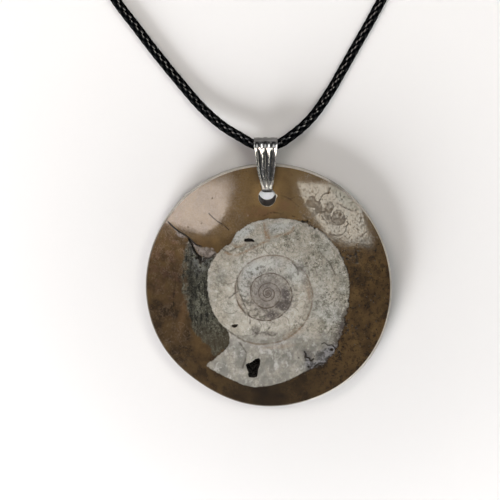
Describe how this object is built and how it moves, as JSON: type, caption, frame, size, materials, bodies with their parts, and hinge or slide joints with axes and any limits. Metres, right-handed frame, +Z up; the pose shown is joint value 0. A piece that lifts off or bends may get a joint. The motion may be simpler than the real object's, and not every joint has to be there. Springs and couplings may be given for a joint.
{
  "type": "polished ammonite fossil pendant",
  "caption": "Domed disc of polished dark limestone with a coiled shell cut through its middle, held by a fluted metal bail on a braided cord.",
  "frame": {"origin": "middle of the flat on the back of the disc, which lies on the surface", "axes": "+Z up out of the polished face, +Y from the middle of the disc towards the hole and the bail, +X to the right of the face"},
  "size_m": [0.0626, 0.1167, 0.0084],
  "materials": {
    "fossil_stone": "high polish on the face, sawn and ground edge",
    "silver_plate": "bright silver-coloured plate, slightly worn",
    "waxed_cord": "black braided cord with a soft wax sheen",
    "tie_plastic": "dull plastic-covered wire"
  },
  "bodies": {
    "root": {"fossil_disc": "fossil_stone", "bail": "silver_plate", "cord": "waxed_cord", "cord_coil": "waxed_cord", "cord_tail_eye": "waxed_cord", "cord_tail_hook": "waxed_cord", "cord_end_eye": "silver_plate", "cord_end_hook": "silver_plate", "coil_tie": "tie_plastic"}
  },
  "joints": []
}
